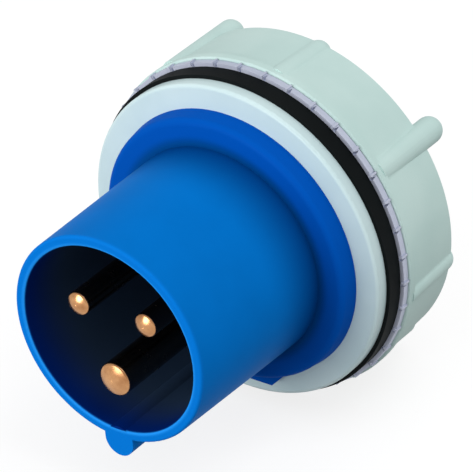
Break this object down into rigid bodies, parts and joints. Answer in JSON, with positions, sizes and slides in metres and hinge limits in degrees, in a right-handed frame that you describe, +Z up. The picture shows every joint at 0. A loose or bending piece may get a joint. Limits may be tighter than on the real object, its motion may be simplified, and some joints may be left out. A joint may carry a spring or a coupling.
{
  "type": "appliance inlet",
  "caption": "Round panel-mounted power inlet: blue keyed sleeve round contact pins, pale flange, black gasket, serrated washer and a ribbed clamp nut on a threaded spigot.",
  "frame": {"origin": "on the inlet's axis in the panel plane, at the rear face of the gasket", "axes": "+Y along the axis towards the wiring side, the sleeve's open rim faces -Y; +Z up, with the key and the earth pin below the axis"},
  "size_m": [0.0716, 0.0757, 0.0716],
  "materials": {
    "blue_plastic": "satin moulded, blue",
    "black_rubber": "matt, black",
    "pale_plastic": "satin moulded, pale blue grey",
    "plated_steel": "zinc plated, lavender grey",
    "nut_plastic": "satin moulded, pale green grey",
    "black_plastic": "matt moulded, black",
    "brass": "turned, copper toned",
    "screw_steel": "zinc plated"
  },
  "bodies": {
    "inlet": {"front_sleeve": "blue_plastic", "collar_seal": "black_rubber", "mounting_body": "pale_plastic", "panel_gasket": "black_rubber", "contact_carrier": "black_plastic", "terminal_block": "black_plastic", "earth_pin": "brass", "line_pin": "brass", "neutral_pin": "brass", "carrier_screws": "screw_steel", "terminal_screws": "screw_steel"},
    "washer": {"serrated_washer": "plated_steel"},
    "nut": {"clamp_nut": "nut_plastic"}
  },
  "joints": [
    {"name": "washer_slide", "type": "slide", "parent": "inlet", "child": "washer", "axis": [0, 1, 0], "range_m": [0, 0.012]},
    {"name": "nut_turn", "type": "hinge", "parent": "washer", "child": "nut", "pos_m": [0, 0, 0], "axis": [0, 1, 0], "range_deg": [0, 1440]}
  ],
  "couplings": [
    {"joint": "washer_slide", "follows": "nut_turn", "m_per_rad": 0.00047746}
  ]
}
